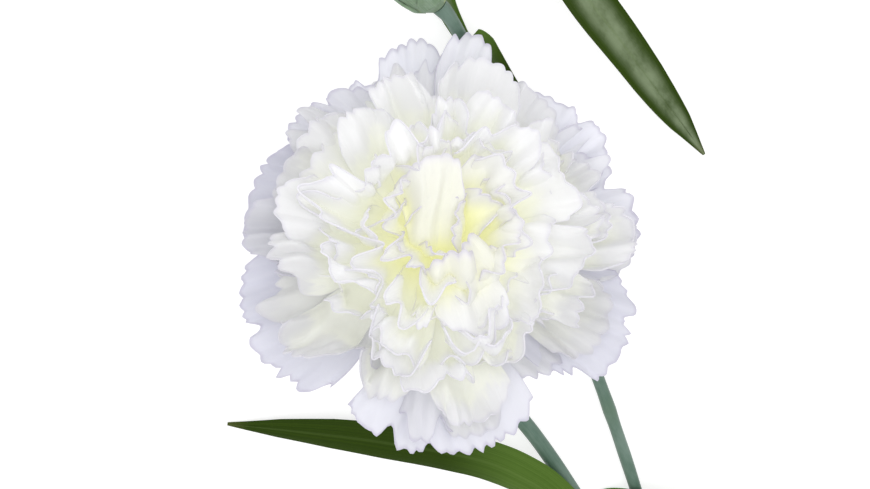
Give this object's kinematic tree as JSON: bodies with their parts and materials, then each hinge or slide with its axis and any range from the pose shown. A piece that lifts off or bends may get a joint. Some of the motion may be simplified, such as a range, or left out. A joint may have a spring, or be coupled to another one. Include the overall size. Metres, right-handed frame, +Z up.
{
  "type": "cut carnation",
  "caption": "Cut spray carnation laid flat: an open double white bloom, a furled bud on a side stem, and strap leaves in pairs.",
  "frame": {"origin": "on the table, under the middle of the flower's bounding box", "axes": "+X along the stem from its cut end towards the bloom and the bud, +Z up from the table"},
  "size_m": [0.2948, 0.1126, 0.0624],
  "materials": {
    "petal_white": "soft translucent petal, white with a cool shade at the edge and cream yellow at the heart",
    "calyx_green": "smooth grey-green skin with a waxy bloom and fine lengthwise ribs",
    "stem_green": "smooth grey-green stem with a waxy bloom, yellower at the joints",
    "leaf_green": "satin leaf, green with a paler grooved midrib and fine parallel veins"
  },
  "bodies": {
    "root": {"bloom": "petal_white", "bud_petals": "petal_white", "calyx": "calyx_green", "bud_calyx": "calyx_green", "stem": "stem_green", "leaf_upper_left": "leaf_green", "leaf_upper_right": "leaf_green", "leaf_fork_left": "leaf_green", "leaf_fork_right": "leaf_green", "leaf_bud_upper": "leaf_green", "leaf_bud_lower": "leaf_green"}
  },
  "joints": []
}
